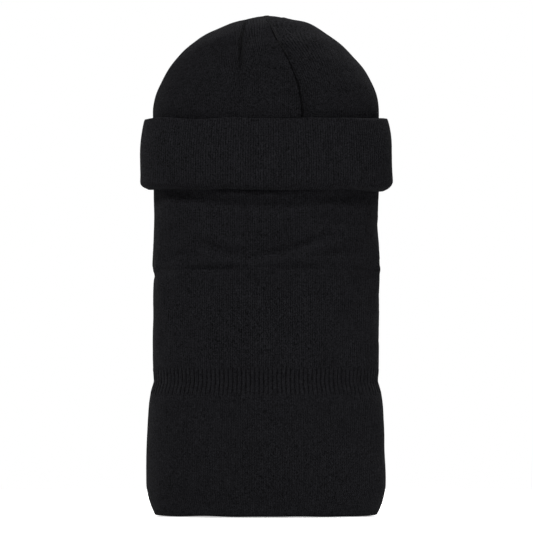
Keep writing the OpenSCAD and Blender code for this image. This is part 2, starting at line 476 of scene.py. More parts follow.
def settle_tube():
    """Lets the neck tube, with the face opening cut out of it, buckle by cloth simulation. The tube is
    held at the crown and at the neck band and has more cloth than the space between them, most of it
    under the cuff. Returns how far each point of a grid of heights and shares moves."""
    shares = np.arange(SIM_COLUMNS) / SIM_COLUMNS
    heights = np.linspace(TUBE_Z, BROW_Z, SIM_ROWS)
    ring = ring_points(shares, np.full(SIM_ROWS, TUBE_W), heights)
    start = ring + outward(ring) * (first_folds(ring) + 0.3 * MM * ripple(ring, 50 * MM, 41))[..., None]
    front_from = share_at(OPENING_ANGLE + RIM_ANGLE)
    in_front = (shares > front_from) & (shares < 0.5 - front_from)
    cut = in_front[None, :] & (heights[:, None] > RIM_Z)
    here = np.arange(SIM_ROWS * SIM_COLUMNS).reshape(SIM_ROWS, SIM_COLUMNS)
    beside = np.roll(here, -1, 1)
    quads = np.stack([here[:-1], beside[:-1], beside[1:], here[1:]], -1).reshape(-1, 4)
    mesh = bpy.data.meshes.new("tube_cloth")
    mesh.from_pydata(start.reshape(-1, 3).tolist(), [], quads[~cut.ravel()[quads].any(1)].tolist())
    cloth = add_object("tube_cloth", mesh)
    held = np.full((SIM_ROWS, SIM_COLUMNS), 0.01)
    held[[0, -1]] = 1
    held[cut] = 1
    slack = np.broadcast_to(ease(heights[:, None] - RIM_Z, 20 * MM), held.shape)
    for name, weights in (("held", held), ("slack", slack)):
        group = cloth.vertex_groups.new(name=name)
        for level in np.unique(weights):
            group.add(np.flatnonzero(weights.ravel() == level).tolist(), float(level), "REPLACE")
    modifier = cloth.modifiers.new("hang", "CLOTH")
    for key, value in CLOTH.items():
        setattr(modifier.settings, key, value)
    modifier.settings.effector_weights.gravity = 0.01
    modifier.collision_settings.use_collision = False
    modifier.point_cache.frame_end = SIM_FRAMES
    scene = bpy.context.scene
    for step in range(1, SIM_FRAMES + 1):
        scene.frame_set(step)
    hung = cloth.evaluated_get(bpy.context.evaluated_depsgraph_get()).to_mesh()
    flat = np.empty(ring.size)
    hung.vertices.foreach_get("co", flat)
    moved = flat.reshape(ring.shape) - ring
    moved[cut] = 0
    scene.frame_set(1)
    bpy.data.objects.remove(cloth)
    bpy.data.meshes.remove(mesh)
    moved = without_drift(moved)
    length = np.linalg.norm(moved, axis=-1, keepdims=True)
    return moved * np.minimum(1, SIM_LIMIT / np.maximum(length, 1e-9))


tube_hang = settle_tube()


def hang(grid):
    """The settled tube's move at each point of a grid."""
    column = shares_of(grid) * SIM_COLUMNS
    row = np.clip((grid[..., 2] - TUBE_Z) / (BROW_Z - TUBE_Z), 0, 1) * (SIM_ROWS - 1)
    c, r = np.floor(column).astype(int), np.minimum(np.floor(row).astype(int), SIM_ROWS - 2)
    u, v = (column - c)[..., None], (row - r)[..., None]
    c, d = c % SIM_COLUMNS, (c + 1) % SIM_COLUMNS
    low, high = (tube_hang[row, c] * (1 - u) + tube_hang[row, d] * u for row in (r, r + 1))
    return low * (1 - v) + high * v


def tube_drape(grid):
    """The settled neck tube, with soft waves and a front that dips a little."""
    x, y, z = coordinates(grid)
    held = ease(z - TUBE_Z, 22 * MM) * ease(BROW_Z - z, 5 * MM)
    wander = 0.6 * MM * ripple(grid, 110 * MM, 3) + 0.35 * MM * ripple(grid, 42 * MM, 4)
    wander -= UNDER_CUFF * ease(-y, 20 * MM) * hump(CUFF_Z - z, 16 * MM)
    result = grid + held[..., None] * (hang(grid) + outward(grid) * wander[..., None])
    front = ease(y, 20 * MM)
    dip = front * ease(z - RIM_Z + 50 * MM, 50 * MM) * ease(RIM_Z + 12 * MM - z, 10 * MM)
    result[..., 2] -= 3.5 * MM * dip * np.clip(1 - (x / (96 * MM)) ** 2, 0, 1)
    return result


def bib_drape(grid):
    """The bib, with soft waves, an uneven hem, and a doubled edge that stands out a little."""
    z = grid[..., 2]
    wander = 0.8 * MM * ripple(grid, 120 * MM, 11) + 0.35 * MM * ripple(grid, 45 * MM, 12)
    calm = ease(BIB_TOP_Z - z, 30 * MM)
    result = grid + outward(grid) * (calm * wander)[..., None]
    stand = RATIO * hem_roll(z) + 2.6 * MM * hump(z, 9 * MM)
    result[..., 1] += stand * outward(grid)[..., 1]
    result[..., 2] += 0.5 * MM * (1 + ripple(grid, 60 * MM, 13)) * smooth(1 - z / (14 * MM))
    return result


def cuff_drape(grid):
    """The cuff, with uneven rolls along its lower fold and its top edge."""
    x, y, z = coordinates(grid)
    t = (z - CUFF_Z) / (CUFF_TOP_Z - CUFF_Z)
    low = smooth(1 - t / 0.45)
    moved = grid + outward(grid) * (0.8 * MM * ripple(grid, 64 * MM, 21))[..., None]
    dip = -0.8 * MM * hump(x, 60 * MM) + 0.5 * MM * ripple(grid, 38 * MM, 22)
    dip -= 1.6 * MM * ease(x - 70 * MM, 50 * MM) * ease(-y, 10 * MM)
    top = 0.7 * MM * ripple(grid, 52 * MM, 23) * ease(t - 0.5, 0.5)
    moved[..., 2] += low * dip + top
    return moved


# ---- Crown: a dome closed by darts, with one dart at the back running down as a lapped pleat ----

DOME_POWER = 1.77
DART_Z = TOP_Z - 54 * MM         # lower end of the short darts
DART_TOP_Z = TOP_Z - 9 * MM
PLEAT_X = 35 * MM                # where the pleat runs in under the cuff
PLEAT_Z = DOME_Z - 4 * MM
TIP_LEAN = 5 * MM                # the gathered tip leans to the pleat's side
PLEAT_BULGE = 1.5 * MM           # and the crown bulges there


def dome_w(z, inset=0.0):
    """Half width of the crown at a height."""
    t = np.clip((z - DOME_Z) / (TOP_Z - inset - DOME_Z), 0, 1)
    return (CROWN_W - inset) * (1 - t ** DOME_POWER) ** (1 / DOME_POWER)


def dome_slant(z):
    """The cosine of the dome's slope at a height: 1 where its side stands upright."""
    step = 0.1 * MM
    run = (dome_w(z + step) - dome_w(z - step)) / (2 * step)
    return np.maximum(1 / np.hypot(1, run), 0.2)


def dome_outline(inset, z0, spacing):
    """(half width, height) from z0 up to the crown's tip."""
    climb = np.linspace(0, math.pi / 2, 400)
    w = (CROWN_W - inset) * np.cos(climb) ** (2 / DOME_POWER)
    z = DOME_Z + (TOP_Z - inset - DOME_Z) * np.sin(climb) ** (2 / DOME_POWER)
    w = np.concatenate([[CROWN_W - inset], w])
    z = np.concatenate([[z0], z])
    length = running(np.hypot(np.diff(w), np.diff(z)))
    at = np.linspace(0, length[-1], round(length[-1] / spacing) + 1)[:-1]
    return np.stack([np.interp(at, length, w), np.interp(at, length, z)], 1)


def pleat_x(z):
    """Where the pleat's edge lies, curling over from the cuff to the crown's tip."""
    t = np.clip((z - PLEAT_Z) / (TOP_Z - 3 * MM - PLEAT_Z), 0, 1)
    return PLEAT_X - (PLEAT_X + 6 * MM) * t ** 1.9


def dart_x(z):
    """Where the short darts lie, from the middle of their face."""
    t = np.clip((z - DART_Z) / (DART_TOP_Z - DART_Z), 0, 1)
    return (25.5 - 0.5 * t * t) * MM


X_LIMIT = 0.93                   # of the half width, where a seam's x stops as the ring gets too small


def share_of_x(x, w, front):
    """The share of the way round at which a ring reaches x, on its front or its back."""
    angle = np.arccos(np.clip(x / w, -X_LIMIT, X_LIMIT))
    return np.interp(angle if front else 2 * math.pi - angle, ring_angles, ring_shares)


def crown_shares(outline, columns):
    """The share of each point of the crown. A column runs along each dart and along the pleat."""
    w, z = np.maximum(outline[:, 0], 0.5 * MM), outline[:, 1]
    above = np.maximum(z, DART_Z)
    dart_w = np.minimum(w, dome_w(above, CROWN_W - w.max()))
    seams = [share_of_x(dart_x(above), dart_w, True), share_of_x(-dart_x(above), dart_w, True),
             share_of_x(-dart_x(above), dart_w, False), share_of_x(pleat_x(z), w, False)]
    foot = np.argmin(z)
    plain = np.arange(columns) / columns
    knots = [round(seam[foot] * columns) / columns for seam in seams]
    knots = [0, *knots[:2], 0.5, *knots[2:], 1]
    return np.array([np.interp(plain, knots, [0, seams[0][r], seams[1][r], 0.5, seams[2][r], seams[3][r], 1])
                     for r in range(len(outline))])


def crown_wales(grid, shares):
    """The wale that passes through each point, counted from +X. Above a dart's lower end the panels
    beside it keep wales of their own, parallel to the panel's middle or to the crown's side, so they
    meet at the dart in a chevron."""
    x, y, z = coordinates(grid)
    w = np.maximum(dome_w(z), 0.5 * MM)
    quarter = PERIMETER * w / 4
    from_middle = (shares % 0.5 - 0.25) * 4 * quarter
    from_middle = np.where(y < 0, from_middle, -from_middle)
    to_side = quarter - np.abs(from_middle)
    pleated = (y < 0) & (from_middle > 0)
    start_z = np.where(pleated, PLEAT_Z, DART_Z)
    start_w = dome_w(start_z)
    pitch = PERIMETER * np.minimum(start_w, CROWN_W) / CROWN_WALES
    line = np.where(pleated, pleat_x(z), dart_x(z))
    beside = np.abs(x) - line
    lean = 0.35 * np.maximum(z - DART_Z, 0) * np.exp(-np.maximum(-beside, 0) / (24 * MM))
    middle_wale = (np.abs(from_middle) - np.where(pleated, 0, lean)) / pitch
    side_wale = CROWN_WALES / 4 - to_side * dome_slant(z) / dome_slant(start_z) / pitch
    straight = np.abs(from_middle) / (PERIMETER * w / CROWN_WALES)
    side = np.where(pleated, x > line, beside > 0)
    wale = np.where(side, side_wale, middle_wale)
    wale = np.where(z < start_z, straight, wale) * np.where(from_middle < 0, -1, 1)
    return CROWN_WALES / 4 * np.where(y < 0, 3, 1) + np.where(y < 0, wale, -wale)


def crown_shape(grid):
    """Darts, the pleat, panels that puff a little, and a tip that is gathered flat."""
    x, y, z = coordinates(grid)
    back = ease(-y, 10 * MM)
    front = ease(y, 10 * MM)
    up = ease(z - DART_Z + 6 * MM, 14 * MM) * ease(TOP_Z + 3 * MM - z, 10 * MM)
    line = dart_x(z)

    def dart(side):
        beside = x - side * line
        groove = -3.0 * hump(beside, 1.7 * MM)
        lips = 0.9 * hump(np.abs(beside) - 5.5 * MM, 4 * MM)
        return (groove + lips) * MM * up
    beside = x - pleat_x(z)
    run = ease(TOP_Z - 1 * MM - z, 12 * MM)
    laps = beside < -0.05 * MM
    lap = np.where(laps, 1.7 * np.exp(beside / (14 * MM)), 0)
    under = np.where(laps, 0, 1.4 * np.exp(-beside / (11 * MM)))
    gap = np.where(laps, 0, 2.0 * hump(beside, 2.2 * MM))
    pleat = run * (lap - under - gap) * MM
    puff = ease(z - DOME_Z, 30 * MM)
    move = back * (dart(-1) + pleat) + front * (dart(-1) + dart(1))
    move += puff * (1.0 * MM * ripple(grid, 90 * MM, 31) + 0.5 * MM * ripple(grid, 30 * MM, 32))
    result = grid + grid_normals(grid, False, True) * move[..., None]
    near_tip = ease(z - TOP_Z + 26 * MM, 24 * MM)
    result[..., 0] += TIP_LEAN * near_tip
    result[..., 0] += 0.5 * MM * run * back * np.where(laps, np.exp(beside / (2 * MM)), 0)
    upper = ease(z - TOP_Z + 75 * MM, 40 * MM)
    result[..., 0] += PLEAT_BULGE * ease(x - 20 * MM, 50 * MM) * upper
    result[..., 2] += 1.0 * MM * near_tip
    return result


def painted_fold_shade(grid):
    """Painted shade for the crown's folds: how much darker each point is painted, 1 in the pleat's gap
    with a painted shadow fading beside it, and less along the darts' seams.
    """
    x, y, z = coordinates(grid)
    back = y < 0
    beside = (x - pleat_x(z)) / MM
    below_tip = ease(TOP_Z - 6 * MM - z, 14 * MM)
    # Painted shade in the pleat's gap, with a painted shadow fading out to the right of it.
    gap = ease(beside + 0.7, 0.5) * ease(3.2 - beside, 2.4) * below_tip
    shadow = 0.3 * np.where(beside > 0, np.exp(-beside / 6), 0) * ease(TOP_Z - z, 8 * MM)
    t = np.clip((z - DART_Z) / (DART_TOP_Z - DART_Z), 0, 1)
    ends = ease(z - DART_Z + 4 * MM, 14 * MM) * ease(TOP_Z - 5 * MM - z, 5 * MM)
    # How strong the painted shade along the darts' seams is: strongest towards both their ends.
    dart_shade_depth = (0.35 + 0.5 * (2 * t - 1) ** 2) * ends
    seam = np.zeros(x.shape)
    for face, side in ((back, -1), (~back, -1), (~back, 1)):
        seam += face * hump(x - side * dart_x(z), MM)
    return back * np.maximum(gap, shadow) + dart_shade_depth * seam


def crown_shell(name, inset, thickness, z0, wales, per_wale, depth, spacing):
    """A dome of knit, closed at its tip inside and out."""
    outer = dome_outline(inset, z0, spacing[0])
    inner = dome_outline(inset + thickness, z0, spacing[1])[::-1]
    outline = np.vstack([inner, outer])
    shares = crown_shares(outline, wales * per_wale)
    plain = ring_points(shares, *outline.T)
    wale = crown_wales(plain, shares) * wales / CROWN_WALES
    relief = ridges(wale)
    grid = stand_out(crown_shape(plain), False, True, relief, depth, len(name))
    across = np.hstack([wale, wale[:, :1] + wales])
    knit = points_at(across, courses_along(outline))
    pleat = round(float(share_of_x(PLEAT_X, outline[:, 0].max(), False)) * wales * per_wale)
    # The relief attribute loses the painted fold shade, so the knit is painted darker in the pleat and darts.
    return grid_mesh(name, grid, knit, relief - painted_fold_shade(plain), wrap_rows=False, poles=True,
                     sharp_columns=(pleat - 1, pleat))


# ---- Materials ----


def black(level):
    """Black yarn at a linear level: a little blue."""
    return (level * 0.97, level * 0.97, level * 1.12, 1)


class Nodes:
    """A short way to write the node tree of a material or a world."""
    def __init__(self, owner):
        owner.use_nodes = True
        self.owner = owner
        self.tree = owner.node_tree
        self.tree.nodes.clear()

    def add(self, kind, settings=None, **inputs):
        """A node. settings are its properties, and inputs its sockets by name, with _ for a space."""
        node = self.tree.nodes.new("ShaderNode" + kind)
        for key, value in (settings or {}).items():
            setattr(node, key, value)
        for key, value in inputs.items():
            self.set(node.inputs[key.replace("_", " ")], value)
        return node

    def set(self, socket, value):
        if isinstance(value, bpy.types.NodeSocket):
            self.tree.links.new(value, socket)
        else:
            socket.default_value = value

    def math(self, operation, a, b=0.0, clamp=False):
        node = self.add("Math", {"operation": operation, "use_clamp": clamp})
        self.set(node.inputs[0], a)
        self.set(node.inputs[1], b)
        return node.outputs[0]

    def sum(self, *terms):
        """The sum of (weight, socket) pairs."""
        total = 0.0
        for weight, socket in terms:
            total = self.math("ADD", total, self.math("MULTIPLY", socket, weight))
        return total

    def noise(self, scale, detail=2.0, vector=None):
        """Noise in the object's own space, centred on zero, with its scale in waves a metre."""
        vector = vector or self.add("TexCoord").outputs["Object"]
        noise = self.add("TexNoise", Vector=vector, Scale=scale, Detail=detail)
        return self.math("SUBTRACT", noise.outputs["Fac"], 0.5)

    def mix(self, share, a, b):
        node = self.add("Mix", {"data_type": "RGBA"})
        for socket, value in ((0, share), (6, a), (7, b)):
            self.set(node.inputs[socket], value)
        return node.outputs[2]

    def yarn(self, level, dark, light, bump, **settings):
        """Finishes a material that runs from dark to light with its level."""
        colour = self.mix(level, black(dark), black(light))
        normal = bump.outputs["Normal"]
        return self.finish(self.add("BsdfPrincipled", Base_Color=colour, Normal=normal, **settings))

    def finish(self, shader, kind="Material"):
        self.add("Output" + kind, Surface=shader.outputs[0])
        return self.owner


def new_material(name):
    return Nodes(bpy.data.materials.new(name))


def knit_material(name, dark, light, wales=1.0, purl=False):
    """Plain knit: a column of V stitches in each wale, or the purl bumps of its other side, with flecks
    and patches. dark and light are the levels of its valleys and crests: the valleys are painted darker
    as shade, and wales is how clearly the wales show. Where the mesh carries painted fold shade, the knit
    is painted darker still and loses its sheen and gloss."""
    n = new_material(name)
    uv = n.add("UVMap", {"uv_map": "knit"}).outputs["UV"]
    split = n.add("SeparateXYZ", Vector=uv)
    wale, course = split.outputs["X"], split.outputs["Y"]
    relief = n.add("Attribute", {"attribute_name": "relief"}).outputs["Fac"]
    from_middle = n.math("MULTIPLY", n.math("ABSOLUTE", n.math("SUBTRACT", n.math("FRACT", wale), 0.5)), 2)
    slant = 0.0 if purl else -0.85
    row = n.sum((1, course), (0.35, n.noise(900, 1.0)), (slant, from_middle))
    loop = n.math("ABSOLUTE", n.math("SINE", n.math("MULTIPLY", row, math.pi)))
    leg = n.math("SINE", n.math("MULTIPLY", from_middle, math.pi / 2 if purl else math.pi))
    stitch = n.math("MULTIPLY", n.math("POWER", leg, 0.6), loop)
    drawn_out = n.add("CombineXYZ", X=n.math("MULTIPLY", wale, 0.8),
                      Y=n.math("MULTIPLY", course, 0.16))
    streak = n.noise(1.0, 2.0, drawn_out.outputs["Vector"])
    fleck = n.noise(850, 2.0)
    fibre = n.noise(2600, 3.0)
    patch = n.noise(26, 3.0)
    cell = n.add("CombineXYZ", X=n.math("FLOOR", wale), Y=n.math("FLOOR", row))
    each = n.add("TexWhiteNoise", {"noise_dimensions": "2D"}, Vector=cell.outputs["Vector"])
    each = n.math("SUBTRACT", each.outputs["Value"], 0.5)
    # Painted shade: the relief attribute paints the valleys between wales and ribs darker, and folds darker
    # still.
    level = n.sum((0.5 * wales, relief), (0.35, stitch), (0.12, each), (0.2, streak),
                  (1.7 + 0.7 * wales, fleck), (0.6, fibre), (0.15, patch))
    level = n.math("ADD", level, 0.27 - 0.27 * wales, clamp=True)
    # Sheen and gloss are cut where painted fold shade lies.
    shine = n.sum((0.8, n.math("ADD", relief, 1, clamp=True)), (0.4, level))
    height = n.sum((0.45, stitch), (0.6, fibre), (0.5, fleck))
    bump = n.add("Bump", Strength=0.7, Distance=0.4 * MM, Height=height)
    return n.yarn(level, dark, light, bump, Roughness=0.95, Sheen_Roughness=0.5,
                  Specular_IOR_Level=n.math("MULTIPLY", shine, 0.03),
                  Sheen_Weight=n.math("MULTIPLY", shine, 0.012))


def thread_material(name, dark, light):
    """Twisted sewing thread, a little glossier than the knit."""
    n = new_material(name)
    vector = n.add("TexCoord").outputs["Object"]
    twist = n.add("TexWave", Vector=vector, Scale=900.0, Distortion=2.0).outputs["Fac"]
    level = n.sum((0.6, twist), (0.8, n.noise(3200, 2.0, vector)), (0.2, 1.0))
    bump = n.add("Bump", Strength=0.4, Distance=0.2 * MM, Height=level)
    return n.yarn(level, dark, light, bump, Roughness=0.65, Specular_IOR_Level=0.2)


def satin_material(name, dark, light):
    """Blank woven tape: fine satin floats across it."""
    n = new_material(name)
    vector = n.add("TexCoord").outputs["Object"]
    weft = n.add("TexWave", {"bands_direction": "Z"}, Vector=vector, Scale=420.0, Distortion=0.6)
    warp = n.add("TexWave", {"bands_direction": "X"}, Vector=vector, Scale=300.0, Distortion=0.3)
    level = n.sum((0.5, weft.outputs["Fac"]), (0.5, warp.outputs["Fac"]))
    bump = n.add("Bump", Strength=0.3, Distance=0.1 * MM, Height=level)
    return n.yarn(level, dark, light, bump, Roughness=0.42, Anisotropic=0.4)


knit_face = knit_material("knit_face", 0.0010, 0.0130)
knit_cuff = knit_material("knit_cuff", 0.0010, 0.0140)
knit_rib = knit_material("knit_rib", 0.0010, 0.0110)
knit_soft = knit_material("knit_soft", 0.0010, 0.0132, wales=0.5)
# Painted shade: the crown's copy of the knit is painted darker to offset its dome's extra light.
knit_crown_painted_darker = knit_material("knit_crown_painted_darker", 0.0010, 0.0122)
knit_back = knit_material("knit_back", 0.003, 0.018, wales=0.7, purl=True)
thread = thread_material("thread", 0.003, 0.012)
satin = satin_material("satin", 0.02, 0.045)


def finish_piece(piece, material, body, node, lining=None):
    """Gives a piece its material and its body, and hides the CAD node it stands for. A lining goes on
    the faces that look in towards the head."""
    mesh = piece.data
    mesh.materials.append(material)
    if lining:
        mesh.materials.append(lining)
        normals, centres = (np.empty(3 * len(mesh.polygons)) for _ in range(2))
        mesh.polygons.foreach_get("normal", normals)
        mesh.polygons.foreach_get("center", centres)
        out = outward(centres.reshape(-1, 3))
        faces_in = (normals.reshape(-1, 3) * out).sum(-1) < -0.3
        mesh.polygons.foreach_set("material_index", faces_in.astype(np.int32))
    if body:
        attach(piece, body)
    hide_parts(node)
    return piece


# ---- Pieces ----


def knit_piece(node, body, material, outline, *sizes, name=None, lining=None, **settings):
    """A knitted ring as a finished piece. The rest is as knit_ring takes it."""
    ring = knit_ring(f"{name or node}_knit", outline, *sizes, **settings)
    return finish_piece(ring, material, body, node, lining)


def build_crown():
    crown = crown_shell("crown_knit", 0, KNIT_T, BROW_Z, CROWN_WALES, 4, FINE_RELIEF, (3.2 * MM, 13 * MM))
    finish_piece(crown, knit_crown_painted_darker, "hood", "crown")
    lining_inset = CROWN_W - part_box("crown_lining")[1].x
    lining = crown_shell("crown_lining_knit", lining_inset, 2 * MM, BROW_Z + 1 * MM, CROWN_WALES // 2, 3,
                         0.3 * MM, (6 * MM, 6 * MM))
    finish_piece(lining, knit_back, "hood", "crown_lining")


def cuff_face_w(t):
    """Half width of the cuff's face at a share of its height. It leans in towards its top."""
    return CUFF_W + 0.3 * MM - 5.0 * MM * t ** 3.2


def build_cuff():
    top_z = CUFF_TOP_Z - 1.2 * MM
    height = top_z - CUFF_Z
    split_w = CUFF_IN_W + 0.2 * MM
    inner_w = CROWN_W + 2.5 * MM
    fold_w = inner_w + 2.4 * MM
    roll_w, roll_h = 13 * MM, 8 * MM
    lip_r = 1.7 * MM
    outline = []
    for a in np.linspace(0, math.pi / 2, 8):
        t = roll_h * (1 - math.cos(a)) / height
        outline.append((max(fold_w, cuff_face_w(0) - roll_w * (1 - math.sin(a))), CUFF_Z + height * t))
    for t in np.linspace(roll_h, height - 2 * lip_r, 12)[1:] / height:
        outline.append((cuff_face_w(t), CUFF_Z + height * t))
    lip_w = cuff_face_w(1) - lip_r
    for a in np.linspace(0, math.pi, 7)[1:-1]:
        outline.append((lip_w + lip_r * math.cos(a), top_z - lip_r + lip_r * math.sin(a)))
    fold_t = 5 * MM
    outline += [(split_w, CUFF_TOP_Z - 5 * MM), (split_w, CUFF_Z + fold_t + 1 * MM),
                (split_w - 1 * MM, CUFF_Z + fold_t), (fold_w + 0.3 * MM, CUFF_Z + fold_t - 0.4 * MM),
                (fold_w, CUFF_Z + 1.5 * MM)]
    knit_piece("cuff_face", "cuff", knit_cuff, rounded(outline, 1), CUFF_WALES, CUFF_RELIEF, name="cuff",
               shape=cuff_drape, spacing=(2.3 * MM, 6 * MM))
    lining = wall(CUFF_Z + fold_t + 0.2 * MM, CUFF_TOP_Z - 2 * MM, edges=(1 * MM, 1 * MM),
                  width=upright(CUFF_IN_W - 0.2 * MM))
    knit_piece("cuff_lining", "cuff", knit_back, lining, CUFF_WALES // 2, 0.3 * MM, shape=cuff_drape,
               spacing=(6 * MM, 6 * MM))


BACK_SWEEP = (share_at(180 - OPENING_ANGLE), share_at(360 + OPENING_ANGLE))
MOUTH_SWEEP = (share_at(OPENING_ANGLE + RIM_ANGLE + RIM_GAP),
               share_at(180 - OPENING_ANGLE - RIM_ANGLE - RIM_GAP))


def build_tube():
    knit_piece("back_panel", "hood", knit_face, wall(TUBE_Z, BROW_Z + 0.2 * MM), TUBE_WALES, name="back",
               lining=knit_back, sweep=BACK_SWEEP, shape=tube_drape)
    mouth = knit_piece("mouth_panel", None, knit_face, wall(TUBE_Z, RIM_LOW_Z + 2 * MM), TUBE_WALES,
                       name="mouth", lining=knit_back, sweep=MOUTH_SWEEP, shape=tube_drape)
    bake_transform(mouth)
    outline = rounded(wall(RIM_LOW_Z, RIM_Z, RIM_T, -0.6 * MM, steps=6, edges=(3 * MM, 3 * MM)), 1)
    knit_piece("mouth_rim", "mouth_rim", knit_rib, outline, NECK_RIBS, 0.9 * MM, per_wale=8,
               lining=knit_back, sweep=MOUTH_SWEEP, shape=tube_drape, spacing=(1.4 * MM, 3 * MM),
               profile=rib_crests)


def build_opening_trim():
    for name, low in (("left", 180 - OPENING_ANGLE - RIM_ANGLE), ("right", OPENING_ANGLE)):
        sweep = (share_at(low - 0.2), share_at(low + RIM_ANGLE + 0.2))
        outline = rounded(wall(RIM_LOW_Z - 1 * MM, side_hi.z, RIM_T, -1.1 * MM, edges=(2 * MM, 2 * MM)), 1)
        knit_piece(f"side_rim_{name}", "hood", knit_face, outline, TUBE_WALES, lining=knit_back,
                   sweep=sweep, shape=tube_drape, spacing=(2.6 * MM, 5 * MM))
        sweep = (share_at(low - 0.3), share_at(low + RIM_ANGLE + 0.8))
        outline = wall(TUBE_Z, RIM_LOW_Z - 0.5 * MM, BAND_T, -0.3 * MM, edges=(0.7 * MM, 0.7 * MM))
        knit_piece(f"side_seam_{name}", "hood", knit_face, outline, NECK_RIBS, 0.6 * MM, per_wale=8,
                   lining=knit_back, sweep=sweep, shape=tube_drape, spacing=(2.6 * MM, 5 * MM))
    outline = rounded(wall(brow_lo.z, brow_hi.z + 1.2 * MM, RIM_T, steps=4, edges=(2 * MM, 2 * MM),
                           width=upright(brow_hi.y / RATIO)), 2)
    sweep = (share_at(OPENING_ANGLE), share_at(180 - OPENING_ANGLE))
    knit_piece("brow_rim", "hood", knit_face, outline, TUBE_WALES, sweep=sweep, spacing=(1 * MM, 2 * MM))


def rib_crests(rib, z):
    """Broad ribs with narrow valleys: 0 to 1."""
    return np.abs(np.sin(math.pi * rib)) ** 0.7


def neck_crests(rib, z):
    """The neck band's ribs, which run into the wales above and below."""
    inside = ease(z - neck_lo.z, 3 * MM) * ease(neck_hi.z - z, 3 * MM)
    return inside * rib_crests(rib, z) + (1 - inside) * (0.35 * ridges(2 * rib) + 0.5)


def build_neck():
    outline = wall(BIB_TOP_Z, TUBE_Z, BAND_T, steps=16)
    return knit_piece("neck_rib", None, knit_rib, outline, NECK_RIBS, 0.95 * MM, per_wale=8,
                      lining=knit_back, spacing=(1.6 * MM, 5 * MM), profile=neck_crests)


def build_bib():
    outline = wall(0, BIB_TOP_Z, steps=40, edges=(0.5 * MM, 0))
    bib = knit_piece("bib", None, knit_soft, outline, TUBE_WALES, FINE_RELIEF, lining=knit_back,
                     shape=bib_drape)
    outline = wall(1.5 * MM, FACING_Z, 2 * MM, KNIT_T + 0.5 * MM, steps=6, edges=(1 * MM, 1 * MM))
    knit_piece("hem_facing", "bib", knit_back, outline, TUBE_WALES // 2, 0.3 * MM, shape=bib_drape,
               spacing=(3 * MM, 3 * MM))
    return bib


# ---- Thread and label ----

UP = np.array([0, 0, 1.0])


def sew(name, body, node, centres, along, out, length, radius):
    """Sewn stitches, each a bead of thread that arches out of the knit."""
    along, out = (np.broadcast_to(way, centres.shape) for way in (along, out))
    along = unit(along)
    out = unit(out - along * (out * along).sum(1, keepdims=True))
    side = np.cross(out, along)
    rings, sides = 6, 6
    beads = []
    for i in range(rings):
        t = i / (rings - 1)
        r = radius * (0.35 + 0.65 * math.sin(math.pi * (0.12 + 0.76 * t)))
        middle = centres + along * (length * (t - 0.5)) + out * (0.7 * radius * math.sin(math.pi * t))
        for j in range(sides):
            a = 2 * math.pi * j / sides
            beads.append(middle + out * (r * math.cos(a)) + side * (r * math.sin(a)))
    faces = []
    for i, j in np.ndindex(rings - 1, sides):
        k = (j + 1) % sides
        faces.append([i * sides + j, (i + 1) * sides + j, (i + 1) * sides + k, i * sides + k])
    faces += [list(range(sides)), [(rings - 1) * sides + j for j in reversed(range(sides))]]
    starts = rings * sides * np.arange(len(centres))
    faces = [[int(start) + v for v in face] for start in starts for face in faces]
    mesh = bpy.data.meshes.new(name)
    mesh.from_pydata(np.stack(beads, 1).reshape(-1, 3).tolist(), [], faces)
    mesh.update()
    finish_piece(add_object(name, mesh), thread, body, node)


def around(out):
    """The level way along a ring, from the way out of it."""
    return points_at(-out[:, 1], out[:, 0], 0)


def sew_row(name, body, node, half_width, z, sweep, pitch, length, radius, shape=None):
    """A row of slanted stitches round a ring or part of one."""
    count = round(PERIMETER * half_width * (sweep[1] - sweep[0]) / pitch)
    shares = sweep[0] + (np.arange(count) + 0.5) / count * (sweep[1] - sweep[0])
    centres = ring_points(shares, [half_width], [z])
    out = outward(centres)[0]
    if shape:
        centres = shape(centres)
    sew(name, body, node, centres[0], around(out) + 0.7 * UP, out, length, radius)


def build_seam_threads():
    sew_row("brow_seam_stitches", "hood", "brow_seam", TUBE_W + 0.1 * MM, (seam_lo.z + seam_hi.z) / 2,
            BACK_SWEEP, 2.6 * MM, 2.8 * MM, 0.6 * MM)
    half_width = float(body_w(linking_hi.z)) - KNIT_T - 1.4 * MM
    sew_row("hem_linking_stitches", "bib", "hem_linking", half_width, (linking_lo.z + linking_hi.z) / 2,
            (0, 1), 3 * MM, 3 * MM, 0.55 * MM, bib_drape)


def build_corner_tacks():
    """A short column of close stitches at the foot of each side rim."""
    count = 8
    heights = np.linspace(tack_lo.z + 0.6 * MM, tack_hi.z - 0.6 * MM, count)
    angle = OPENING_ANGLE + 0.5 * RIM_ANGLE
    shares = [share_at(angle), share_at(180 - angle)]
    grid = ring_points(shares, np.full(count, TUBE_W + 1.9 * MM), heights)
    centres = grid.transpose(1, 0, 2).reshape(-1, 3)
    out = outward(centres)
    tilt = np.where(np.arange(len(centres)) % 2, 0.25, -0.25)[:, None]
    sew("corner_tack_stitches", "hood", "corner_tacks", tube_drape(centres[None])[0], around(out) + tilt * UP,
        out, 4.2 * MM, 0.55 * MM)


def build_label_tacks():
    """Two small zigzags at the label's top corners."""
    lo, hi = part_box("label_tacks")
    tack_w = 3 * MM
    x = np.concatenate([np.linspace(lo.x, lo.x + tack_w, 5), np.linspace(hi.x - tack_w, hi.x, 5)])
    centres = points_at(x, (lo.y + hi.y) / 2 + 0.3 * MM, (lo.z + hi.z) / 2 - 0.4 * MM)
    along = points_at(np.where(np.arange(len(x)) % 2, 0.5, -0.5), -0.25, 1)
    sew("label_tack_stitches", "hood", "label_tacks", centres, along, (0, 1.0, 0), 2.4 * MM, 0.4 * MM)


